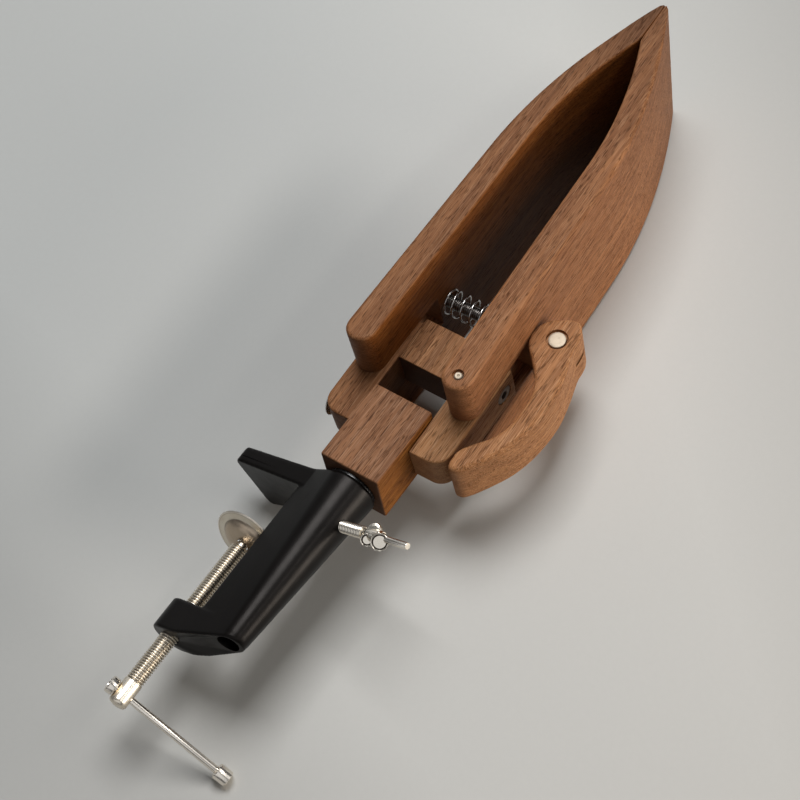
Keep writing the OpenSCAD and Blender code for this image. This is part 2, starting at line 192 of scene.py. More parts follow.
# ---------------------------------------------------------------- black coating
def black_coat():
    m, N, b = new_mat('black_coating')
    big = N.noise(N.coords((55, 55, 40)), 1, 3, 0.55)
    grit = N.noise(N.coords((2300, 2300, 2300)), 1, 2, 0.6)
    wavy = N.noise(N.coords((190, 190, 150)), 1, 2, 0.5)
    col = N.ramp(big, [(0.3, (0.0018, 0.0014, 0.0012)), (0.7, (0.0030, 0.0023, 0.0020))])
    speck = N.ramp(grit, [(0.66, 0.0), (0.76, 0.4)])
    col = N.mix(speck, col, (0.009, 0.008, 0.007, 1))
    N.put(b.inputs['Base Color'], col)
    N.put(b.inputs['Roughness'], N.ramp(wavy, [(0.3, 0.29), (0.7, 0.35)]))
    b.inputs['Specular IOR Level'].default_value = 0.15
    b.inputs['Specular Tint'].default_value = (1.0, 0.93, 0.88, 1)
    n1 = N.bump(grit, 0.16, 0.00005)
    N.put(b.inputs['Normal'], N.bump(wavy, 0.10, 0.0004, n1))
    return m

def matte_black(name, base=0.018, rough=0.55):
    m, N, b = new_mat(name)
    g = N.noise(N.coords((900, 900, 900)), 1, 2, 0.6)
    N.put(b.inputs['Base Color'], N.ramp(g, [(0.3, (base * 0.7,) * 3), (0.7, (base * 1.35, base * 1.3, base * 1.25))]))
    N.put(b.inputs['Roughness'], N.ramp(g, [(0.3, rough - 0.07), (0.7, rough + 0.08)]))
    N.put(b.inputs['Normal'], N.bump(g, 0.3, 0.00008))
    return m

# ---------------------------------------------------------------- metals
def metal(name, col, rough, lines=(60, 60, 2400), depth=0.16, tarnish=(0.45, 0.36, 0.26), amount=0.35, metallic=1.0, root_shade_helix=None, rings=None):
    """Plated or turned metal: fine turning marks, soft cloudiness and a little tarnish in patches.
    root_shade_helix = (axis, pitch, from, to, amount) paints shade into a thread's roots; rings = [(radius, tone)]
    paints shade and highlight bands across a dished face."""
    m, N, b = new_mat(name)
    marks = N.noise(N.coords(lines), 1, 2, 0.6)
    cloud = N.noise(N.coords((260, 260, 260)), 1, 3, 0.6)
    patch = N.noise(N.coords((620, 620, 620), (4, 2, 1)), 1, 3, 0.62)
    c = N.mix(N.ramp(cloud, [(0.35, 0.0), (0.75, amount)]), (*col, 1), (*tarnish, 1))
    c = N.mix(N.ramp(patch, [(0.60, 0.0), (0.72, 0.45 * amount)]), c, (0.12, 0.09, 0.07, 1))
    if root_shade_helix or rings:
        so = N.add('ShaderNodeSeparateXYZ')
        m.node_tree.links.new(N.coords(), so.inputs[0])
        X, Y, Z = so.outputs
    # painted shade: the thread's roots are darkened along the helix
    if root_shade_helix:
        along, u, v = (Z, X, Y) if root_shade_helix[0] == 'Z' else (X, Y, Z)
        turnv = N.math('MULTIPLY', N.math('ARCTAN2', v, u), 0.5 / math.pi)
        ph = N.math('FRACT', N.math('SUBTRACT', N.math('DIVIDE', along, root_shade_helix[1] * MM), turnv))
        root_shade = N.ramp(N.math('ABSOLUTE', N.math('SUBTRACT', ph, 0.5)), [(0.10, 1.0), (0.24, 0.0)])
        inside = N.math('MULTIPLY', N.math('GREATER_THAN', along, root_shade_helix[2] * MM), N.math('LESS_THAN', along, root_shade_helix[3] * MM))
        c = N.mix(N.math('MULTIPLY', N.math('MULTIPLY', root_shade, inside), root_shade_helix[4]), c, (0.035, 0.026, 0.020, 1))
    # painted shade and highlight: tone bands by radius across the dished face
    if rings:
        rad = N.math('SQRT', N.math('ADD', N.math('MULTIPLY', X, X), N.math('MULTIPLY', Y, Y)))
        top = rings[-1][0]
        c = N.mix(1.0, c, N.ramp(N.math('DIVIDE', rad, top * MM), [(q / top, t) for q, t in rings]), blend='MULTIPLY')
    N.put(b.inputs['Base Color'], c)
    b.inputs['Metallic'].default_value = metallic
    r = N.math('MULTIPLY_ADD', marks, 0.10, rough - 0.04)
    r = N.math('ADD', r, N.ramp(patch, [(0.55, 0.0), (0.75, 0.08)]))
    N.put(b.inputs['Roughness'], r)
    N.put(b.inputs['Normal'], N.bump(marks, depth, 0.00004))
    return m

# per-piece tints: the wood's tone together with painted light and shade, piece by piece
WALNUT_L = wood('walnut_jaw_left', 1.0, (0.92, 0.93, 1.00), side=(1.25, 0.95, 0.45), inner_shade=1, tip_shade=0.62)
WALNUT_R = wood('walnut_jaw_right', 4.0, (1.14, 1.16, 1.26), side=(1.06, 1.04, 1.02), inner_shade=-1, tip_shade=0.66)
WALNUT_CL = wood('walnut_cheek_left', 7.0, (1.00, 1.02, 1.08), inner_shade=1)
WALNUT_CR = wood('walnut_cheek_right', 9.0, (1.30, 1.50, 1.68), inner_shade=-1)
WALNUT_B = wood('walnut_cross_block', 12.0, (1.12, 1.20, 1.28), underside_shade=0.2)
WALNUT_N = wood('walnut_neck_block', 15.0, (1.00, 1.09, 1.36), side=(0.90, 0.68, 0.24), underside_shade=0.45)
WALNUT_V = wood('walnut_lever', 18.0, (1.50, 1.62, 1.76), 0.8, (0, math.radians(-22), 0))
BLACK = black_coat()
NYLON = matte_black('black_washer', 0.008, 0.26)
BLUED = metal('black_steel', (0.150, 0.115, 0.090), 0.36, (1400, 1400, 1400), 0.1, (0.07, 0.05, 0.04), 0.5, 0.9)
NICKEL = metal('nickel', (0.79, 0.72, 0.61), 0.27, (300, 300, 2600), 0.03, (0.62, 0.52, 0.39), 0.35, root_shade_helix=('Z', 1.25, -117.6, -43.5, 0.62))
NICKEL_X = metal('nickel_bar', (0.86, 0.80, 0.71), 0.17, (50, 1300, 1300), 0.02, (0.74, 0.66, 0.54), 0.12)
NICKEL_T = metal('nickel_thumb', (0.85, 0.79, 0.69), 0.22, (2600, 300, 300), 0.02, (0.76, 0.67, 0.54), 0.20, root_shade_helix=('X', 1.0, 7.0, 24.5, 0.6))
# painted shade: dark metal for the groove of the thumb screw's dished disc
GROOVE_SHADE = metal('nickel_groove_shade', (0.10, 0.075, 0.055), 0.5, (900, 900, 900), 0.05, (0.05, 0.04, 0.03), 0.5)
# the cup's rings paint shade at the centre and in the groove, and a highlight on the rolled rim
CUPM = metal('nickel_cup', (0.80, 0.74, 0.65), 0.30, (300, 300, 900), 0.03, (0.66, 0.56, 0.44), 0.4,
    rings=[(3.0, (0.50, 0.44, 0.38)), (10.5, (0.66, 0.58, 0.50)), (11.8, (0.40, 0.36, 0.32)), (12.2, (0.85, 0.84, 0.80)), (14.8, (0.80, 0.79, 0.76)), (15.1, (0.55, 0.52, 0.48)), (15.5, (1.0, 1.0, 1.0)), (16.5, (1.0, 1.0, 1.0))])
STEEL = metal('steel', (0.66, 0.64, 0.61), 0.26, (2200, 300, 300), 0.05, (0.50, 0.44, 0.36), 0.35)
PINM = metal('pin_steel', (0.50, 0.43, 0.34), 0.62, (1500, 300, 180), 0.10, (0.40, 0.33, 0.25), 0.35)
WIRE = metal('spring_wire', (0.50, 0.49, 0.48), 0.16, (900, 900, 900), 0.03, (0.30, 0.27, 0.25), 0.3)
RODM = metal('draw_bar_steel', (0.30, 0.28, 0.265), 0.28, (1500, 500, 500), 0.04, (0.16, 0.13, 0.11), 0.5, root_shade_helix=('X', 1.0, -40, 50, 0.8))

# ---------------------------------------------------------------- mesh helpers
def finish_mesh(name, me, M, body, mats, replaces=(), sharp=32, smooth=True):
    ob = bpy.data.objects.new(name + '_v', me)
    bpy.context.scene.collection.objects.link(ob)
    ob.matrix_world = M
    for mt in (mats if isinstance(mats, (list, tuple)) else [mats]):
        me.materials.append(mt)
    if smooth:
        me.shade_smooth()
        me.set_sharp_from_angle(angle=math.radians(sharp))
    bpy.context.view_layer.update()
    if body:
        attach(ob, body)
    if replaces:
        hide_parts(*replaces)
    return ob

def raw_mesh(name, verts, faces):
    me = bpy.data.meshes.new(name)
    me.from_pydata([(x * MM, y * MM, z * MM) for x, y, z in verts], [], faces)
    me.validate()
    me.update()
    return me

def tidy(me, flip=False):
    bm = bmesh.new()
    bm.from_mesh(me)
    bmesh.ops.remove_doubles(bm, verts=bm.verts, dist=1e-6)
    bmesh.ops.recalc_face_normals(bm, faces=bm.faces)
    bm.to_mesh(me)
    bm.free()
    return me

def inset_normals(pts):
    """Inward unit normals of a closed counter-clockwise outline."""
    n = len(pts)
    out = []
    for i in range(n):
        a, b, c = pts[i - 1], pts[i], pts[(i + 1) % n]
        d1 = Vector((b[0] - a[0], b[1] - a[1])).normalized()
        d2 = Vector((c[0] - b[0], c[1] - b[1])).normalized()
        n1, n2 = Vector((-d1.y, d1.x)), Vector((-d2.y, d2.x))
        k = n1 + n2
        k = k / max(k.length_squared / 2, 0.5)
        out.append(k)
    return out

def area2(pts):
    return sum(pts[i - 1][0] * pts[i][1] - pts[i][0] * pts[i - 1][1] for i in range(len(pts)))

def prism(name, outline, y0, y1, rf, seg=5, mids=()):
    """Rounded prism along local Y from an x-z outline; rf(i, x, z, side) gives the edge's radius in mm."""
    pts = list(outline)
    if area2(pts) < 0:
        pts.reverse()
    nm = inset_normals(pts)
    n = len(pts)
    rings = []
    for side in (0, 1):
        rr = [rf(i, pts[i][0], pts[i][1], side) for i in range(n)]
        block = []
        for k in range(seg + 1):
            t = math.pi / 2 * k / seg
            ring = []
            for i in range(n):
                r = rr[i]
                ins = r * (1 - math.sin(t))
                dep = r * (1 - math.cos(t))
                y = y0 + dep if side == 0 else y1 - dep
                ring.append((pts[i][0] + nm[i].x * ins, y, pts[i][1] + nm[i].y * ins))
            block.append(ring)
        rings.append(block)
    order = rings[0] + [[(p[0], m, p[1]) for p in pts] for m in mids] + rings[1][::-1]
    verts = [v for ring in order for v in ring]
    faces = []
    for k in range(len(order) - 1):
        for i in range(n):
            j = (i + 1) % n
            faces.append((k * n + i, k * n + j, (k + 1) * n + j, (k + 1) * n + i))
    faces.append(tuple(range(n))[::-1])
    faces.append(tuple((len(order) - 1) * n + i for i in range(n)))
    me = raw_mesh(name, verts, faces)
    bm = bmesh.new()
    bm.from_mesh(me)
    caps = [f for f in bm.faces if len(f.verts) > 4]
    bmesh.ops.triangulate(bm, faces=caps, quad_method='BEAUTY', ngon_method='BEAUTY')
    bmesh.ops.recalc_face_normals(bm, faces=bm.faces)
    bm.to_mesh(me)
    bm.free()
    return me

def revolve(name, prof, n=48, closed=False, axis='Z'):
    """Revolves (r, h) points; closed joins the last to the first."""
    verts, faces = [], []
    idx = []
    for r, h in prof:
        if r < 1e-6:
            idx.append([len(verts)])
            verts.append((0, 0, h))
        else:
            s = len(verts)
            idx.append(list(range(s, s + n)))
            for i in range(n):
                a = 2 * math.pi * i / n
                verts.append((r * math.cos(a), r * math.sin(a), h))
    pairs = list(zip(idx, idx[1:])) + ([(idx[-1], idx[0])] if closed else [])
    for A, B in pairs:
        for i in range(n):
            j = (i + 1) % n
            if len(A) == 1 and len(B) == 1:
                continue
            if len(A) == 1:
                faces.append((A[0], B[j], B[i]))
            elif len(B) == 1:
                faces.append((A[i], A[j], B[0]))
            else:
                faces.append((A[i], A[j], B[j], B[i]))
    if axis == 'X':
        verts = [(h, x, y) for x, y, h in verts]
    if axis == 'Y':
        verts = [(y, h, x) for x, y, h in verts]
    return tidy(raw_mesh(name, verts, faces))

def round_prof(r, h0, h1, c=0.4, seg=3, bore=0.0):
    """Profile of a cylinder r from h0 to h1 with rounded rims."""
    p = [(bore, h0)]
    for k in range(seg + 1):
        t = math.pi / 2 * k / seg
        p.append((r - c + c * math.sin(t), h0 + c - c * math.cos(t)))
    for k in range(seg + 1):
        t = math.pi / 2 * k / seg
        p.append((r - c + c * math.cos(t), h1 - c + c * math.sin(t)))
    p.append((bore, h1))
    return p

def thread(name, r, depth, pitch, h0, h1, n=32, sub=8, c0=0.8, c1=0.8, axis='Z', bore=0.0, starts=(1, 1)):
    """Helical thread between h0 and h1 with run-outs and flat ends."""
    dz = pitch / sub
    rows = max(2, int(round((h1 - h0) / dz)))
    verts, faces = [], []
    for k in range(rows + 1):
        z = h0 + (h1 - h0) * k / rows
        for i in range(n):
            a = i / n
            p = (z / pitch - a) % 1.0
            tri = abs(p * 2 - 1)
            tri = min(1.0, max(0.0, (tri - 0.10) / 0.74))
            tri = tri * tri * (3 - 2 * tri)
            d = depth * (1 - tri)
            rr = r - d
            if starts[0]:
                rr = min(rr, r - depth * 1.15 + (z - h0) * 1.0 + 0.05)
            if starts[1]:
                rr = min(rr, r - depth * 1.15 + (h1 - z) * 1.0 + 0.05)
            verts.append((rr * math.cos(2 * math.pi * a), rr * math.sin(2 * math.pi * a), z))
    for k in range(rows):
        for i in range(n):
            j = (i + 1) % n
            faces.append((k * n + i, k * n + j, (k + 1) * n + j, (k + 1) * n + i))
    verts += [(0, 0, h0), (0, 0, h1)]
    L = len(verts)
    for i in range(n):
        j = (i + 1) % n
        faces.append((L - 2, j, i))
        faces.append((L - 1, rows * n + i, rows * n + j))
    if axis == 'X':
        verts = [(h, x, y) for x, y, h in verts]
    return tidy(raw_mesh(name, verts, faces))

def box_mesh(name, x0, x1, y0, y1, z0, z1):
    v = [(x, y, z) for x in (x0, x1) for y in (y0, y1) for z in (z0, z1)]
    f = [(0, 1, 3, 2), (4, 6, 7, 5), (0, 4, 5, 1), (2, 3, 7, 6), (0, 2, 6, 4), (1, 5, 7, 3)]
    return tidy(raw_mesh(name, v, f))

def cyl_mesh(name, r, h0, h1, axis, at=(0, 0, 0), n=48, r2=None):
    me = revolve(name, [(0, h0), (r, h0), (r if r2 is None else r2, h1), (0, h1)], n, axis=axis)
    me.transform(T(*at))
    return me

def joined(name, meshes):
    bm = bmesh.new()
    for me in meshes:
        bm.from_mesh(me)
    out = bpy.data.meshes.new(name)
    bm.to_mesh(out)
    bm.free()
    return out

def boolean(me, cutters, op='DIFFERENCE'):
    """Exact boolean of a mesh with cutter meshes, all in the same local frame."""
    a = bpy.data.objects.new('tmp_a', me)
    bpy.context.scene.collection.objects.link(a)
    obs = [a]
    for c in cutters:
        o = bpy.data.objects.new('tmp_c', c)
        bpy.context.scene.collection.objects.link(o)
        obs.append(o)
        md = a.modifiers.new('b', 'BOOLEAN')
        md.operation = op
        md.solver = 'EXACT'
        md.object = o
    bpy.context.view_layer.update()
    dg = bpy.context.evaluated_depsgraph_get()
    out = bpy.data.meshes.new_from_object(a.evaluated_get(dg), depsgraph=dg)
    for o in obs:
        bpy.data.objects.remove(o, do_unlink=True)
    out.materials.clear()
    return out

def bevel_sharp(me, width, seg=2, angle=38, keep=None):
    """Bevels sharp edges a little, so that cut edges catch the light."""
    bm = bmesh.new()
    bm.from_mesh(me)
    bmesh.ops.remove_doubles(bm, verts=bm.verts, dist=2e-6)
    bmesh.ops.dissolve_limit(bm, angle_limit=math.radians(0.4), verts=bm.verts, edges=bm.edges)
    es = [e for e in bm.edges if len(e.link_faces) == 2 and e.calc_face_angle(0) > math.radians(angle)
          and (keep is None or keep((e.verts[0].co + e.verts[1].co) / 2 / MM))]
    bmesh.ops.bevel(bm, geom=es, offset=width * MM, offset_type='OFFSET', segments=seg, profile=0.6,
                    affect='EDGES', clamp_overlap=True, loop_slide=True)
    out = bpy.data.meshes.new(me.name)
    bm.to_mesh(out)
    bm.free()
    return out

def weighted(ob):
    md = ob.modifiers.new('wn', 'WEIGHTED_NORMAL')
    md.keep_sharp = True
    md.weight = 60
    return ob

def crom(p, n):
    """Closed Catmull-Rom curve through points, n steps a span."""
    out = []
    L = len(p)
    for i in range(L):
        p0, p1, p2, p3 = p[i - 1], p[i], p[(i + 1) % L], p[(i + 2) % L]
        for k in range(n):
            t = k / n
            out.append(tuple(0.5 * (2 * b + (c - a) * t + (2 * a - 5 * b + 4 * c - d) * t * t + (3 * b - a - 3 * c + d) * t ** 3)
                             for a, b, c, d in zip(p0, p1, p2, p3)))
    return out

def lerp(a, b, t): return a + (b - a) * max(0.0, min(1.0, t))
def step(a, b, v):
    t = max(0.0, min(1.0, (v - a) / (b - a)))
    return t * t * (3 - 2 * t)

# ---------------------------------------------------------------- jaws
def xo(z):
    if z < 160:
        return 32.2 - 3.2 * (z - 53.2) / 106.8
    u = z - 160
    return 29.0 - 0.03 * u - u * u / 452
def xi(z):
    b = 17.7
    if z < 170:
        return b - 1.9 * (z - 53.2) / 116.8
    u = z - 170
    return max(0.05, b - 1.9 - 0.02 * u - u * u / 368)
JR = (xo(53.2) - xi(53.2)) / 2
JX = (xo(53.2) + xi(53.2)) / 2

def jaw_outline():
    o = []
    z = 53.2
    while z < 160:
        o.append((xo(z), z)); z += 5
    z = 160
    while z < 262.5:
        o.append((xo(z), z)); z += 2.5
    o += [(xo(263.6), 263.6), (1.15, 264.45), (0.75, 264.75), (0.35, 264.7), (0.05, 264.3)]
    z = 262.0
    while z > 170:
        o.append((xi(z), z)); z -= 2.5
    z = 168
    while z > 56:
        o.append((xi(z), z)); z -= 5
    for i in range(0, 30):
        a = math.radians(180 + 180 * i / 30)
        o.append((JX + JR * math.cos(a), 53.2 + JR * math.sin(a)))
    return o

def jaw_radius(i, x, z, side):
    """Rounded rims: fuller outside and at the lower end, finer inside, dying out at the tip."""
    outer = x > (xo(min(z, 262)) + xi(min(z, 262))) / 2
    r = 2.1 if outer else 1.35
    if z < 60:
        r = lerp(1.9, r, (z - 46) / 14)
    return r * (1 - step(236, 263, z)) + 0.28 * step(236, 263, z)

def make_jaw(name, mirror, slot_w, mat, body, node):
    me = prism(name, jaw_outline(), -38, 38, jaw_radius, 6)
    cut = [box_mesh('c', -5, 60, -slot_w / 2, slot_w / 2, 30, 93)]
    if not mirror:
        cut += [cyl_mesh('c', 3.7, 8, 40, 'X', (0, 0, 99.5), 40),
                cyl_mesh('c', 2.7, -50, -36.6, 'Y', (JX, 0, 53.2), 40), cyl_mesh('c', 2.7, 36.6, 50, 'Y', (JX, 0, 53.2), 40),
                cyl_mesh('c', 2.16, -40, 40, 'Y', (JX, 0, 53.2), 40)]
    else:
        cut += [cyl_mesh('c', 3.4, 8, 40, 'X', (0, 0, 99.5), 40), cyl_mesh('c', 7, 30.2, 40, 'X', (0, 0, 99.5), 48)]
    me = boolean(me, cut)
    hd = 38
    me = bevel_sharp(me, 0.45, 2, 40, lambda c: abs(c.y) < 37.2 or (abs(c.y) < 38.2 and (Vector((c.x - JX, c.z - 53.2)).length < 3.2)))
    if mirror:
        me.transform(Matrix.Scale(-1, 4, (1, 0, 0)))
        me.flip_normals()
    ob = finish_mesh(name, me, HEAD, body, mat, [node], 30)
    return weighted(ob)

jaw_l = make_jaw('jaw_left', True, 20.8, WALNUT_L, 'head', 'left_jaw')
jaw_r = make_jaw('jaw_right', False, 21.4, WALNUT_R, 'moving_jaw', 'right_jaw')

# hinge pin with a centre-drilled, slightly domed end
def pin_profile(r, h0, h1, c, dimple=0.0, dome=0.12):
    p = []
    if dimple:
        p += [(0, h0 + 0.75), (0.25, h0 + 0.62), (dimple, h0 + 0.08)]
    else:
        p += [(0, h0)]
    p += [((r - c) * 0.8, h0 + dome * 0.5), (r - c, h0 + dome), (r - c * 0.35, h0 + dome + c * 0.3), (r, h0 + dome + c)]
    q = [(a, h0 + h1 - b) for a, b in p]
    return p + q[::-1]
hq = [(0, -37.0), (0.25, -37.1), (0.62, -37.5), (1.35, -37.53), (1.68, -37.3), (1.74, -36.7), (2.15, -36.2)]
hp = revolve('hinge_pin', hq + [(a, -b) for a, b in hq[::-1]], 48, axis='Y')
hp.transform(T(JX, 0, 53.2))
finish_mesh('hinge_pin', hp, HEAD, 'moving_jaw', PINM, ['jaw_hinge_pin'], 25)

# ---------------------------------------------------------------- cheeks and cross block
CX = 15.35
def cheek(name, mirror, mat, node):
    o = [(CX, 79), (CX, 60), (CX, 40), (CX, 22.6)]
    xe = CX + 16.9
    for i in range(17):
        a = math.radians(270 + 90 * i / 16)
        o.append((xe - 8 + 8 * math.cos(a), 30.6 + 8 * math.sin(a)))
    o += [(xe, 45), (xe, 60), (xe, 77.2), (xe - 0.55, 78.45), (xe - 1.8, 79)]
    me = prism(name, o, -10.4, 10.4, lambda i, x, z, s: 0.5 if (x < CX + 0.1) else 1.3, 4)
    cut = []
    if not mirror:
        cut += [cyl_mesh('c', 4.95, 29.2, 50, 'X', (0, 0, 70.5), 48),
                cyl_mesh('c', 2.95, CX - 1, CX + 12.3, 'X', (0, 0, 32), 48), cyl_mesh('c', 5.9, CX - 1, CX + 5.2, 'X', (0, 0, 32), 6)]
    else:
        cut += [cyl_mesh('c', 4.95, 29.2, 50, 'X', (0, 0, 70.5), 48)]
    me = boolean(me, cut)
    me = bevel_sharp(me, 0.35, 2, 50, lambda c: c.x > xe - 0.3)
    if mirror:
        me.transform(Matrix.Scale(-1, 4, (1, 0, 0)))
        me.flip_normals()
    ob = finish_mesh(name, me, HEAD, 'head', mat, [node], 30)
    return weighted(ob)
cheek('cheek_left', True, WALNUT_CL, 'left_cheek')
cheek('cheek_right', False, WALNUT_CR, 'right_cheek')

def rounded_block(name, x, y, z0, z1, r, seg=3):
    """Block centred in x and y, with every edge rounded."""
    me = box_mesh(name, -x / 2, x / 2, -y / 2, y / 2, z0, z1)
    bm = bmesh.new()
    bm.from_mesh(me)
    bmesh.ops.bevel(bm, geom=list(bm.edges), offset=r * MM, segments=seg, profile=0.5, affect='EDGES', clamp_overlap=True)
    bm.to_mesh(me)
    bm.free()
    return me

cb = rounded_block('cross_block', 2 * CX - 0.04, 20.8, 59.5, 82, 0.55, 3)
weighted(finish_mesh('cross_block', cb, HEAD, 'head', WALNUT_B, ['cross_block'], 30))

nb = rounded_block('neck_block', 30, 29, 0, 41.4, 0.95, 4)
nb = boolean(nb, [cyl_mesh('c', 3.05, -30, 30, 'X', (0, 0, 32), 40)])
weighted(finish_mesh('neck_block', nb, NECK, 'swivel', WALNUT_N, ['neck_block'], 30))

# countersunk socket screws, black, with a bright burr round the hexagon
def socket_head(name, xe, mirror):
    prof = [(0, -8), (2, -8), (2.0, -2.9), (4.2, -0.62), (4.55, -0.25), (4.55, -0.02), (4.3, 0.12), (3.9, 0.16), (2.35, 0.16), (2.15, 0.05)]
    n = 48
    verts, faces = [], []
    for r, h in prof[1:]:
        for i in range(n):
            a = 2 * math.pi * i / n
            rr = r
            if r <= 2.4 and h > -1:
                q = math.cos(math.pi / 6) / math.cos((a % (math.pi / 3)) - math.pi / 6)
                rr = r * q * 1.03
            verts.append((h, rr * math.cos(a), rr * math.sin(a)))
    for h in (-2.1,):
        for i in range(n):
            a = 2 * math.pi * i / n
            q = math.cos(math.pi / 6) / math.cos((a % (math.pi / 3)) - math.pi / 6)
            verts.append((h, 2.1 * q * math.cos(a), 2.1 * q * math.sin(a)))
    rows = len(prof)
    for k in range(rows - 1):
        for i in range(n):
            j = (i + 1) % n
            faces.append((k * n + i, k * n + j, (k + 1) * n + j, (k + 1) * n + i))
    verts += [(-8, 0, 0), (-2.4, 0, 0)]
    L = len(verts)
    for i in range(n):
        j = (i + 1) % n
        faces.append((L - 2, j, i))
        faces.append((L - 1, (rows - 1) * n + i, (rows - 1) * n + j))
    me = tidy(raw_mesh(name, verts, faces))
    me.transform(T(xe - 0.45, 0, 70.5))
    if mirror:
        me.transform(Matrix.Scale(-1, 4, (1, 0, 0)))
        me.flip_normals()
    return me
me = joined('cheek_screws', [socket_head('s', CX + 16.9, False), socket_head('s', CX + 16.9, True)])
finish_mesh('cheek_screws', me, HEAD, 'head', BLUED, ['cheek_screws'], 28)

# tilt bolt: thin domed head with a round recess
xb = CX + 16.9
tb = revolve('tilt_bolt', [(0, -xb - 0.6), (2.5, -xb - 0.6), (2.5, -xb - 1.45), (2.75, -xb - 1.72), (4.6, -xb - 1.66), (6.3, -xb - 1.34), (7.3, -xb - 0.86), (7.72, -xb - 0.42),
     (7.8, -xb - 0.02), (7.6, -xb + 0.05), (2.95, -xb + 0.05), (2.95, CX + 11.5), (2.55, CX + 11.98), (0, CX + 11.98)], 56, axis='X')
tb.transform(T(0, 0, 32))
finish_mesh('tilt_bolt', tb, HEAD, 'head', STEEL, ['tilt_bolt'], 32)

# ---------------------------------------------------------------- draw bar, spring, nut
rod = thread('draw_bar', 2.95, 0.42, 1.0, -39.45, 46.3, 28, 8, axis='X')
rod.transform(T(0, 0, 99.5))
finish_mesh('draw_bar', rod, HEAD, 'draw_bar', RODM, ['draw_rod'], 60)

def spring_mesh():
    turns = 8
    x0 = xi(99.5) - 0.62
    wire, R = 0.47, 5.92
    k, m = 36, 10
    path = []
    total = turns * k
    for i in range(total + 1):
        s = i / total
        a = 2 * math.pi * i / k + 0.35
        # dead coils at both ends, open pitch between
        e = 0.115
        if s < e:
            x = -x0 + (s / e) * 1.3
        elif s > 1 - e:
            x = x0 - ((1 - s) / e) * 1.3
        else:
            x = -x0 + 1.3 + (s - e) / (1 - 2 * e) * (2 * x0 - 2.6)
        path.append(Vector((x, R * math.cos(a), R * math.sin(a))))
    # soften the change of pitch
    for _ in range(10):
        xs = [p.x for p in path]
        for i in range(1, total):
            path[i].x = (xs[i - 1] + 2 * xs[i] + xs[i + 1]) / 4
    verts, faces = [], []
    for i, p in enumerate(path):
        t = (path[min(i + 1, total)] - path[max(i - 1, 0)]).normalized()
        radial = Vector((0, p.y, p.z)).normalized()
        b = t.cross(radial).normalized()
        radial = b.cross(t).normalized()
        for j in range(m):
            a = 2 * math.pi * j / m
            q = p + wire * (math.cos(a) * radial + math.sin(a) * b)
            verts.append((q.x, q.y, q.z + 99.5))
    for i in range(total):
        for j in range(m):
            l = (j + 1) % m
            faces.append((i * m + j, (i + 1) * m + j, (i + 1) * m + l, i * m + l))
    faces.append(tuple(range(m)))
    faces.append(tuple(total * m + j for j in range(m))[::-1])
    return tidy(raw_mesh('jaw_spring', verts, faces))
sp = finish_mesh('jaw_spring', spring_mesh(), HEAD, None, WIRE, ['draw_spring'], 40)
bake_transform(sp)

tw = revolve('tension_washer', [(3.25, -31.15), (6.0, -31.15), (6.2, -31.0), (6.2, -30.35), (6.0, -30.2), (3.25, -30.2)], 48, closed=True, axis='X')
tw.transform(T(0, 0, 99.5))
finish_mesh('tension_washer', tw, HEAD, 'head', STEEL, ['tension_washer'], 30)

def hex_nut(name, r, h0, h1, bore):
    """Hexagon with chamfered corners, along X."""
    n = 48
    verts, faces = [], []
    prof = []
    ch = 0.55
    for h, cap in ((h0, 0), (h0 + 0.08, 1), (h0 + ch, 2), (h1 - ch, 2), (h1 - 0.08, 1), (h1, 0)):
        ring = []
        for i in range(n):
            a = 2 * math.pi * i / n
            q = r * math.cos(math.pi / 6) / math.cos((a % (math.pi / 3)) - math.pi / 6)
            lim = {0: r * 0.86, 1: r * 0.885, 2: r * 1.2}[cap]
            rr = min(q, lim)
            ring.append((h, rr * math.cos(a), rr * math.sin(a)))
        prof.append(ring)
    inner0 = [(h0 + 0.45, bore * math.cos(2 * math.pi * i / n), bore * math.sin(2 * math.pi * i / n)) for i in range(n)]
    lead0 = [(h0, (bore + 0.4) * math.cos(2 * math.pi * i / n), (bore + 0.4) * math.sin(2 * math.pi * i / n)) for i in range(n)]
    inner1 = [(h1 - 0.45, p[1], p[2]) for p in inner0]
    lead1 = [(h1, p[1], p[2]) for p in lead0]
    rings = prof + [lead1, inner1, inner0, lead0]
    verts = [v for ring in rings for v in ring]
    R = len(rings)
    for k in range(R):
        for i in range(n):
            j = (i + 1) % n
            kk = (k + 1) % R
            faces.append((k * n + i, k * n + j, kk * n + j, kk * n + i))
    me = tidy(raw_mesh(name, verts, faces))
    return me
tn = hex_nut('tension_nut', 5.75, -36.3, -31.3, 3.0)
tn.transform(T(0, 0, 99.5))
finish_mesh('tension_nut', tn, HEAD, 'tension', STEEL, ['tension_nut'], 22)
nt = hex_nut('tilt_nut', 5.68, CX + 0.32, CX + 5.08, 2.98)
nt.transform(T(0, 0, 32))
finish_mesh('tilt_nut', nt, HEAD, 'head', BLUED, ['tilt_nut'], 22)

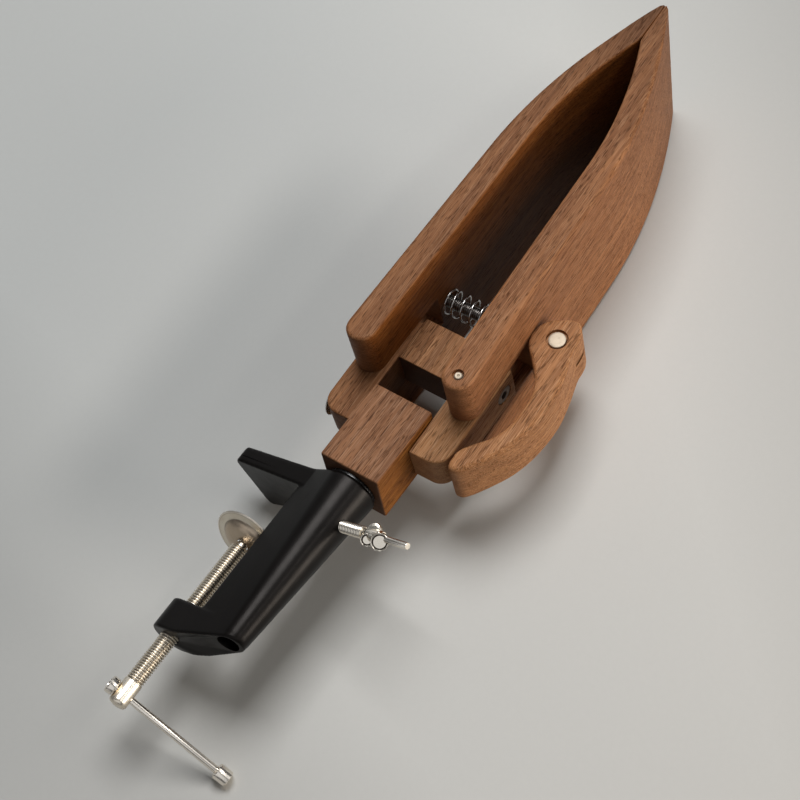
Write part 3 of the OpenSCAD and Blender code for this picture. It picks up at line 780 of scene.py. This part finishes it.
# ---------------------------------------------------------------- cam lever
LEV = [(31.15, 99), (31.15, 96.2), (31.7, 93.4), (33.6, 90.1), (38.4, 85.2), (44.6, 77.4),
    (47.2, 70), (47.8, 61.9), (47, 53.4), (43.5, 45), (38.4, 38.6), (34.8, 33.3), (33.9, 28.3),
    (34.6, 24.8), (36.8, 23.2), (40.1, 24.3), (44.1, 29.2), (48.7, 36.3), (52.5, 43.5), (55.2, 51.5),
    (56.8, 60), (57.4, 68), (57.2, 75), (56.2, 81), (54.8, 87), (53.4, 91.5), (52.3, 95.3),
    (51.6, 98.5), (51.5, 101.5), (51.1, 104.5), (50.1, 107.3), (48.4, 109.9), (46.2, 111.5),
    (43.3, 111.5), (40.5, 110.2), (37.8, 108.6), (35.3, 107.1), (33.3, 105), (32, 102.8), (31.4, 100.8)]
def lever_radius(i, x, z, side):
    outer = x > 49.5 or (z < 50 and x > 40 + (z - 23.5) * 0.45)
    h = step(94, 84, z)
    r = 1.3 + (2.9 - 1.3) * h if outer else 1.2 + (1.9 - 1.2) * h
    if z < 30:
        r = 2.6
    return r
lv = prism('lever', crom(LEV, 4), -13.5, 13.5, lever_radius, 7)
def wedge(w, x0, za, x1, zb):
    return tidy(raw_mesh('c', [(x0, -w, za), (x1, -w, zb), (x1, -w, 116), (x0, -w, 116), (x0, w, za), (x1, w, zb), (x1, w, 116), (x0, w, 116)],
        [(0, 1, 2, 3), (7, 6, 5, 4), (0, 4, 5, 1), (1, 5, 6, 2), (2, 6, 7, 3), (3, 7, 4, 0)]))
lv = boolean(lv, [wedge(3.5, 26, 91, 47.8, 93.5), wedge(1.3, 46, 97.6, 58, 99), cyl_mesh('c', 4.06, -30, 30, 'Y', (42.3, 0, 99.5), 56),
    cyl_mesh('c', 5.0, -30, -11.7, 'Y', (42.3, 0, 99.5), 56), cyl_mesh('c', 5.0, 11.7, 30, 'Y', (42.3, 0, 99.5), 56)])
lv = bevel_sharp(lv, 0.4, 2, 45, lambda c: (abs(c.y) < 4.2) or (Vector((c.x - 42.3, c.z - 99.5)).length < 5.6 and abs(c.y) > 13.3))
weighted(finish_mesh('lever', lv, HEAD, 'cam_lever', WALNUT_V, ['lever'], 30))

xp = revolve('lever_pin', pin_profile(3.98, -13.32, 13.32, 0.34, 0.0, 0.10), 64, axis='Y')
xp.transform(T(42.3, 0, 99.5))
finish_mesh('lever_pin', xp, HEAD, 'draw_bar', PINM, ['lever_cross_pin'], 25)

# ---------------------------------------------------------------- bench clamp body
def loft(name, rings, caps=True):
    n = len(rings[0])
    verts = [v for r in rings for v in r]
    faces = []
    for k in range(len(rings) - 1):
        for i in range(n):
            j = (i + 1) % n
            faces.append((k * n + i, k * n + j, (k + 1) * n + j, (k + 1) * n + i))
    if caps:
        faces.append(tuple(range(n))[::-1])
        faces.append(tuple((len(rings) - 1) * n + i for i in range(n)))
    return tidy(raw_mesh(name, verts, faces))

def convex(pts):
    """Convex hull of plane points, counter-clockwise."""
    pts = sorted(set((round(a, 5), round(b, 5)) for a, b in pts))
    def half(ps):
        h = []
        for p in ps:
            while len(h) > 1 and (h[-1][0] - h[-2][0]) * (p[1] - h[-2][1]) - (h[-1][1] - h[-2][1]) * (p[0] - h[-2][0]) <= 0:
                h.pop()
            h.append(p)
        return h
    a, b = half(pts), half(pts[::-1])
    return a[:-1] + b[:-1]

def resample(poly, n, start=0.0):
    """n points evenly along a closed outline, starting on the +x side."""
    k0 = max(range(len(poly)), key=lambda i: poly[i][0])
    poly = poly[k0:] + poly[:k0]
    seg = [math.dist(poly[i], poly[(i + 1) % len(poly)]) for i in range(len(poly))]
    tot = sum(seg)
    out, i, acc = [], 0, 0.0
    for k in range(n):
        d = tot * k / n
        while acc + seg[i] < d:
            acc += seg[i]; i += 1
        t = (d - acc) / max(seg[i], 1e-9)
        a, b = poly[i], poly[(i + 1) % len(poly)]
        out.append((a[0] + (b[0] - a[0]) * t, a[1] + (b[1] - a[1]) * t))
    return out

def circle(cx, cy, r, n=64):
    return [(cx + r * math.cos(2 * math.pi * i / n), cy + r * math.sin(2 * math.pi * i / n)) for i in range(n)]

def post_section(z):
    s = (-1.3 - z) / 85.2
    r = 12.7 - 6.3 * s
    cx, cy = 2.6 * s, -2.2 * s
    return resample(convex(circle(cx, cy, r, 96) + [(-19.4, -7.7), (-18.9, -8.5), (-18.4, -8.7), (-19.4, 7.7), (-18.9, 8.5), (-18.4, 8.7)]), 160)

rings = []
for i in range(33):
    z = -1.3 - i * 2.58
    rings.append([(x, y, z) for x, y in post_section(z)])
top = post_section(-1.3)
post_mesh = loft('post', [[(x * 0.945, y * 0.945, -0.02) for x, y in top]] + [[(x * 0.985, y * 0.985, -0.35) for x, y in top]] + rings)
# flange of the arm and, above a fine groove, its block with a slightly sloping top
def pad_outline(t, e=0.0):
    r = 3 - t
    o = [(-10 + e, -8.7 + t)]
    for i in range(17):
        a = math.radians(278 - 98 * i / 16)
        o.append((-55.5 + r * math.cos(a), -12.7 + r * math.sin(a)))
    for i in range(17):
        a = math.radians(180 - 98 * i / 16)
        o.append((-55.5 + r * math.cos(a), 12.7 + r * math.sin(a)))
    o.append((-10 + e, 8.7 - t))
    return o
flange = loft('flange', [[(x, y, z) for x, y in pad_outline(t)] for t, z in ((0.5, -10.5), (0.12, -10.36), (0.0, -10.0), (0.0, -7.2))])
def arm_top(x):
    return lerp(-2.25, -0.15, (x + 58.5) / 46)
arm = loft('arm', [[(x, y, z) for x, y in pad_outline(0)] for z in (-7.6, -6.0)] +
    [[(x, y, arm_top(x) + dz) for x, y in pad_outline(t)] for t, dz in ((0, -1.2), (0.16, -0.62), (0.55, -0.2), (1.2, 0.0))])
# foot: from the post's end to the pressure screw's boss, its underside rising towards the post
def foot_low(x):
    q = (x + 24.4) * 0.2545
    return -94.0 + q * 0.5 + math.sqrt(q * q * 0.25 + 0.22)
def foot_ring(t, dz, z=None):
    poly = resample(convex(circle(-34.1, 0, 9.3 - t, 96) + circle(-17, 0, 8.4 - t, 96) + circle(2.6, -2.2, 6.4 - t, 96)), 160)
    return [(x, y, foot_low(x) + dz if z is None else z) for x, y in poly]
foot = loft('foot', [foot_ring(0.85, 0.0), foot_ring(0.25, 0.2), foot_ring(0.0, 0.75), foot_ring(0, 2.5),
    foot_ring(0, 0, -79.4), foot_ring(0.25, 0, -78.85), foot_ring(0.8, 0, -78.5)])

def union_remesh(name, meshes, voxel, smooth=4):
    """Fuses closed meshes and softens every edge as a casting has."""
    src = joined(name, meshes)
    ob = bpy.data.objects.new('tmp_u', src)
    bpy.context.scene.collection.objects.link(ob)
    md = ob.modifiers.new('r', 'REMESH')
    md.mode = 'VOXEL'
    md.voxel_size = voxel * MM
    md.adaptivity = 0.0
    sm = ob.modifiers.new('s', 'SMOOTH')
    sm.factor = 0.5
    sm.iterations = smooth
    bpy.context.view_layer.update()
    dg = bpy.context.evaluated_depsgraph_get()
    out = bpy.data.meshes.new_from_object(ob.evaluated_get(dg), depsgraph=dg)
    bpy.data.objects.remove(ob, do_unlink=True)
    out.materials.clear()
    return out
u = boolean(post_mesh, [flange, arm, foot], 'UNION')
u = boolean(u, [cyl_mesh('c', 16.65, -78.2, -10.5, 'Z', (-35, 0, 0), 128)])
u = union_remesh('clamp_body', [u], 0.5, 4)
def slab_cut(t, e, z0, z1):
    return loft('c', [[(x, y, z) for x, y in pad_outline(t, e)] for z in (z0, z1)])
groove = boolean(slab_cut(-2.0, -8.0, -7.62, -7.2), [slab_cut(0.42, 6.0, -9, -6)])
hollow = revolve('c', [(0, -73), (4.7, -74), (5.1, -75), (5.1, -85.2), (5.3, -100), (0, -100)], 56)
hollow.transform(T(1.9, -2.5, 0))
u = boolean(u, [cyl_mesh('c', 6.07, -28, 10, 'Z', (0, 0, 0), 64), cyl_mesh('c', 4.16, -120, -60, 'Z', (-35, 0, 0), 56),
    hollow, cyl_mesh('c', 2.86, 0, 20, 'X', (0, 0, -18.7), 40), groove])
finish_mesh('clamp_body', u, CLAMP, 'clamp', BLACK, ['clamp_body'], 50)

# ---------------------------------------------------------------- post washer and swivel post
pw = revolve('post_washer', [(6.05, 0.12), (11.2, 0.12), (11.5, 0.4), (11.5, 1.35), (11.2, 1.66), (6.05, 1.66)], 72, closed=True)
finish_mesh('post_washer', pw, CLAMP, 'swivel', NYLON, ['post_washer'], 30)
for nd, mt in (('swivel_post', STEEL), ('friction_washers', NYLON), ('jaw_dowel', WALNUT_CL)):
    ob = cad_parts[nd]
    ob.data.materials.clear()
    ob.data.materials.append(mt)

# ---------------------------------------------------------------- pressure screw
ps = thread('screw_thread', 4.1, 0.72, 1.25, -117.6, -43.55, 44, 12, starts=(0, 1))
hd = revolve('screw_head', [(0, -129.0), (0.5, -129.05), (0.85, -129.5), (1.15, -129.7), (2.6, -129.7), (3.3, -129.45), (3.9, -128.85), (4.18, -128.2), (4.2, -127.6), (4.2, -118.0), (4.05, -117.6), (3.5, -117.3), (0, -117.3)], 56)
neckp = revolve('screw_neck', [(0, -44.3), (2.45, -44.3), (2.45, -39.6), (2.3, -39.42), (0, -39.42)], 40)
ps = joined('pressure_screw', [ps, hd, neckp])
rt = revolve('cup_rivet', [(0, -39.4), (3.7, -39.4), (3.88, -39.25), (3.86, -39.1), (3.4, -38.72), (2.4, -38.42), (1.0, -38.24), (0, -38.2)], 48)
finish_mesh('pressure_screw', ps, SCREW, 'spindle', NICKEL, ['pressure_screw'], 60)
finish_mesh('cup_rivet', rt, SCREW, 'spindle', NICKEL, ['cup_rivet'], 30)

# pressure cup: pressed saucer with a rolled rim round a dome
def cup_profile():
    low, high = [], []
    for i in range(0, 17):
        a = math.radians(80 * i / 16)
        q = (1 - math.cos(a)) / (1 - math.cos(math.radians(80)))
        s = math.sin(a) / math.sin(math.radians(80))
        low.append((3.02 + 8.88 * s, -1.18 + 3.0 * q))
        high.append((3.02 + 8.4 * s, -0.3 + 2.95 * q))
    low += [(12.08, 1.84), (12.3, 1.94), (12.6, 2.02), (14.1, 2.05), (15.2, 2.1), (15.7, 2.18), (15.93, 2.34), (16.0, 2.5), (15.93, 2.7), (15.7, 2.84), (15.2, 2.86), (13.9, 2.84), (12.0, 2.8)]
    return low + high[::-1]
CUPF = SCREW @ T(0, 0, -40.97) @ RY(-8.43) @ RX(-13.5)
cp = revolve('pressure_cup', cup_profile(), 120, closed=True)
finish_mesh('pressure_cup', cp, CUPF, 'cup', CUPM, ['pressure_cup'], 40)

# ---------------------------------------------------------------- tommy bar
tbm = revolve('tommy_bar', round_prof(1.65, -7, 55.6, 0.3), 32, axis='X')
finish_mesh('tommy_bar', tbm, BAR, 'tommy', NICKEL_X, ['tommy_bar'], 30)
def cap(name, h0, h1, r=3.65, dish=0.0):
    p = [(0, h0 + dish), (r - 1.7, h0 + dish), (r - 1.3, h0), (r - 0.75, h0), (r - 0.3, h0 + 0.1), (r - 0.05, h0 + 0.42), (r, h0 + 0.8), (r, h1 - 0.8), (r - 0.05, h1 - 0.42), (r - 0.3, h1 - 0.1), (r - 0.75, h1), (0, h1)]
    return revolve(name, p, 44, axis='X')
finish_mesh('tommy_caps', joined('tommy_caps', [cap('c', -8, -4.5, 3.9, 0.8), cap('c', 50.5, 57)]), BAR, 'tommy', NICKEL_X, ['tommy_caps'], 30)

# ---------------------------------------------------------------- thumb screw
sh = thread('t', 2.85, 0.30, 1.0, 6.95, 24.6, 36, 10, axis='X', starts=(1, 1))
parts = [sh, revolve('n', [(0, 6.1), (1.7, 6.1), (1.95, 6.35), (1.95, 7.1), (0, 7.1)], 32, axis='X'),
    revolve('n', [(0, 24.2), (2.2, 24.2), (2.2, 26.4), (2.7, 27.4), (3.0, 28.6), (3.0, 35.2), (2.7, 36.2), (0, 36.4)], 40, axis='X')]
def disc(at, r, h, d=(0.903, -0.274, -0.32), c=0.5, dish=0.0):
    if dish:
        p = [(0, h / 2 - dish), (r - 1.25, h / 2 - dish - 0.05), (r - 1.02, h / 2 - dish - 0.7), (r - 0.80, h / 2 - dish - 0.7), (r - 0.62, h / 2 - 0.08), (r - 0.40, h / 2), (r - 0.12, h / 2 - 0.1), (r, h / 2 - 0.4)]
    else:
        p = [(0, h / 2), (r - 1.6 * c, h / 2), (r - 0.8 * c, h / 2 - 0.12 * c), (r - 0.2 * c, h / 2 - 0.5 * c), (r, h / 2 - 1.1 * c)]
    p += [(a, -b) for a, b in p[::-1]]
    me = revolve('d', p, 44)
    # painted shade: faces in the dish's groove get the dark groove material
    for f in me.polygons:
        rad = math.hypot(f.center.x, f.center.y) / MM
        if dish and r - 1.24 < rad < r - 0.64:
            f.material_index = 1
    q = Vector(d).normalized().to_track_quat('Z', 'Y').to_matrix().to_4x4()
    me.transform(T(*at) @ q)
    return me
DW = CLAMP.to_3x3().inverted() @ Vector((0.42, -0.79, -0.44))
DW2 = CLAMP.to_3x3().inverted() @ Vector((0.05, -0.90, -0.43))
parts += [disc((35.9, 0, -1.6), 3.9, 5.0, DW, 0.5, 0.22), disc((28.6, 0.2, -2.3), 3.0, 4.4, DW, 0.36, 0.3), disc((29.9, -0.3, 2.6), 3.0, 4.8, DW2, 0.9)]
finish_mesh('thumb_screw', joined('thumb_screw', parts), THUMB, 'thumb', [NICKEL_T, GROOVE_SHADE], ['thumb_screw'], 34)
tp = revolve('thumb_pin', [(0, 34), (1.55, 34), (1.55, 51.2), (1.35, 51.55), (0, 51.62)], 36, axis='X')
finish_mesh('thumb_pin', tp, THUMB, 'thumb', NICKEL_X, ['thumb_pin'], 30)

# ---------------------------------------------------------------- stage
nrm = Vector((0, 0.998135, 0.061049))
ctr = Vector((0.03, 0, 0.08))
p0 = ctr + nrm * (0.0263 - nrm.dot(ctr))
u1 = Vector((1, 0, 0)); v1 = nrm.cross(u1).normalized()
S = 3.0
me = bpy.data.meshes.new('backdrop')
me.from_pydata([p0 + u1 * a * S + v1 * b * S for a, b in ((-1, -1), (1, -1), (1, 1), (-1, 1))], [], [(0, 1, 2, 3)])
me.update()
if me.polygons[0].normal.dot(nrm) > 0:
    me.flip_normals()
bd = bpy.data.objects.new('backdrop', me)
bpy.context.scene.collection.objects.link(bd)
m, N, b = new_mat('backdrop')
soft = N.noise(N.coords((2.2, 2.2, 2.2)), 1, 2, 0.5)
tex = N.noise(N.coords((420, 420, 420)), 1, 2, 0.6)
colr = N.mix(N.ramp(soft, [(0.35, 0.0), (0.65, 1.0)]), (0.610, 0.602, 0.582, 1), (0.640, 0.632, 0.612, 1))
colr = N.mix(N.ramp(tex, [(0.3, 0.0), (0.7, 0.05)]), colr, (0.45, 0.44, 0.42, 1))
sx = N.add('ShaderNodeSeparateXYZ')
m.node_tree.links.new(N.coords((1, 1, 1), (0.2, 0, 0)), sx.inputs[0])
# painted light: the backdrop is darker at the left and lighter to the right, the fall-off of the light across it
side = N.ramp(N.math('MULTIPLY', sx.outputs[0], 2.2, clamp=True), [(0.0, (0.84, 0.865, 0.865)), (0.45, (0.96, 0.965, 0.95)), (1.0, (0.97, 0.955, 0.925))])
colr = N.mix(1.0, colr, side, blend='MULTIPLY')
# painted shade: the backdrop darkens towards the upper right, where the light falls off
far_falloff_shade = N.math('MULTIPLY_ADD', N.math('ADD', sx.outputs[0], sx.outputs[2]), 5.0, -2.25, clamp=True)
colr = N.mix(1.0, colr, N.ramp(far_falloff_shade, [(0.0, 1.0), (1.0, 0.70)]), blend='MULTIPLY')
# painted shadow: soft darkening of the backdrop towards the lower left
lower_left_shade = N.math('MULTIPLY_ADD', sx.outputs[0], -3.07, N.math('MULTIPLY_ADD', sx.outputs[2], -10.38, 0.29), clamp=True)
colr = N.mix(1.0, colr, N.ramp(lower_left_shade, [(0.0, 1.0), (1.0, 0.80)]), blend='MULTIPLY')
# painted shadow: a soft dark band on the backdrop beside the left jaw, the object's shadow; length limits it along the
# jaw
jaw_shadow_band = N.ramp(N.math('MULTIPLY', sx.outputs[0], 2.2, clamp=True), [(0.132, 0.0), (0.242, 1.0), (0.374, 1.0), (0.44, 0.0)], 'EASE')
length = N.ramp(N.math('MULTIPLY_ADD', sx.outputs[2], 3.0, 0.3, clamp=True), [(0.06, 0.0), (0.24, 1.0), (0.66, 1.0), (0.92, 0.0)], 'EASE')
colr = N.mix(N.math('MULTIPLY', jaw_shadow_band, length), colr, N.mix(1.0, colr, (0.765, 0.775, 0.785, 1), blend='MULTIPLY'))
N.put(b.inputs['Base Color'], colr)
b.inputs['Roughness'].default_value = 0.62
b.inputs['Specular IOR Level'].default_value = 0.25
geo = N.add('ShaderNodeNewGeometry')
tr = N.add('ShaderNodeBsdfTransparent')
ms = N.add('ShaderNodeMixShader')
m.node_tree.links.new(geo.outputs['Backfacing'], ms.inputs[0])
m.node_tree.links.new(b.outputs[0], ms.inputs[1])
m.node_tree.links.new(tr.outputs[0], ms.inputs[2])
m.node_tree.links.new(ms.outputs[0], m.node_tree.nodes['Material Output'].inputs[0])
me.materials.append(m)
bd.visible_shadow = False

# ---------------------------------------------------------------- camera
R = Matrix(((0.8130823062087321, -0.4286811144340289, 0.3938650345713476),
            (0.12378501483826712, -0.5337872423700065, -0.8365096831385241),
            (0.5688360338724857, 0.7289058114808957, -0.3809486639399031)))
cd = bpy.data.cameras.new('camera')
cam = bpy.data.objects.new('camera', cd)
bpy.context.scene.collection.objects.link(cam)
cd.lens = 81.98242582
cd.sensor_width = 36
cd.clip_start, cd.clip_end = 0.05, 20
cam.matrix_world = Matrix.Translation((0.34014131272, -0.68821074975, -0.24839663660)) @ R.to_4x4()
bpy.context.scene.camera = cam

# ---------------------------------------------------------------- light
cr, cu, cbk = R.col[0], R.col[1], R.col[2]
target = Vector((0.04, -0.02, 0.09))
def area(name, direction, dist, size, power, color=(1, 1, 1), size_y=None, shape='RECTANGLE'):
    ld = bpy.data.lights.new(name, 'AREA')
    ld.shape = shape
    ld.size = size
    ld.size_y = size_y or size
    ld.energy = power
    ld.color = color
    ob = bpy.data.objects.new(name, ld)
    bpy.context.scene.collection.objects.link(ob)
    d = Vector(direction).normalized()
    ob.location = target + d * dist
    ob.rotation_mode = 'QUATERNION'
    ob.rotation_quaternion = d.to_track_quat('Z', 'Y')
    return ob
area('key', (-0.12, -0.95, 0.28), 1.5, 0.80, 19.5, (0.985, 0.99, 1.0))
area('side', (0.95, -0.12, 0.30), 1.5, 0.75, 15.0, (1.0, 0.92, 0.82))
area('strip', (0.62, -0.76, 0.20), 1.4, 0.10, 1.6, (1.0, 0.97, 0.93), 0.9)
area('rear', (0.1, 0.9, 0.5), 1.8, 1.4, 4, (1.0, 1.0, 1.0))
w = bpy.data.worlds.new('world')
bpy.context.scene.world = w
w.use_nodes = True
wn = w.node_tree
bg = wn.nodes['Background']
bg.inputs[0].default_value = (0.80, 0.81, 0.83, 1)
lp = wn.nodes.new('ShaderNodeLightPath')
mx = wn.nodes.new('ShaderNodeMath')
mx.operation = 'MULTIPLY_ADD'
mx.inputs[1].default_value = 0.50
wn.links.new(lp.outputs['Is Camera Ray'], mx.inputs[0])
# only metals see this: soft bright and dark patches of a studio round the part
wc = wn.nodes.new('ShaderNodeTexCoord')
wt = wn.nodes.new('ShaderNodeTexNoise')
wt.inputs['Scale'].default_value = 1.9
wt.inputs['Detail'].default_value = 1.0
wn.links.new(wc.outputs['Generated'], wt.inputs['Vector'])
wr = wn.nodes.new('ShaderNodeValToRGB')
wr.color_ramp.elements[0].position, wr.color_ramp.elements[0].color = 0.47, (0, 0, 0, 1)
wr.color_ramp.elements[1].position, wr.color_ramp.elements[1].color = 0.56, (1, 1, 1, 1)
wn.links.new(wt.outputs[0], wr.inputs[0])
wd = wn.nodes.new('ShaderNodeVectorMath')
wd.operation = 'DOT_PRODUCT'
wd.inputs[1].default_value = (0.44, -0.74, -0.50)
wn.links.new(wc.outputs['Generated'], wd.inputs[0])
wp = wn.nodes.new('ShaderNodeValToRGB')
wp.color_ramp.elements[0].position, wp.color_ramp.elements[0].color = 0.90, (0, 0, 0, 1)
wp.color_ramp.elements[1].position, wp.color_ramp.elements[1].color = 0.97, (1, 1, 1, 1)
wn.links.new(wd.outputs['Value'], wp.inputs[0])
wa = wn.nodes.new('ShaderNodeMath')
wa.operation = 'MAXIMUM'
wn.links.new(wr.outputs[0], wa.inputs[0])
wn.links.new(wp.outputs[0], wa.inputs[1])
wg = wn.nodes.new('ShaderNodeMath')
wg.operation = 'MULTIPLY'
wn.links.new(lp.outputs['Is Glossy Ray'], wg.inputs[0])
wn.links.new(wa.outputs[0], wg.inputs[1])
mg = wn.nodes.new('ShaderNodeMath')
mg.operation = 'MULTIPLY_ADD'
mg.inputs[1].default_value = 0.75
mg.inputs[2].default_value = 0.13
wn.links.new(wg.outputs[0], mg.inputs[0])
wn.links.new(mg.outputs[0], mx.inputs[2])
wn.links.new(mx.outputs[0], bg.inputs[1])
bpy.context.scene.view_settings.view_transform = 'Standard'
bpy.context.scene.view_settings.look = 'None'
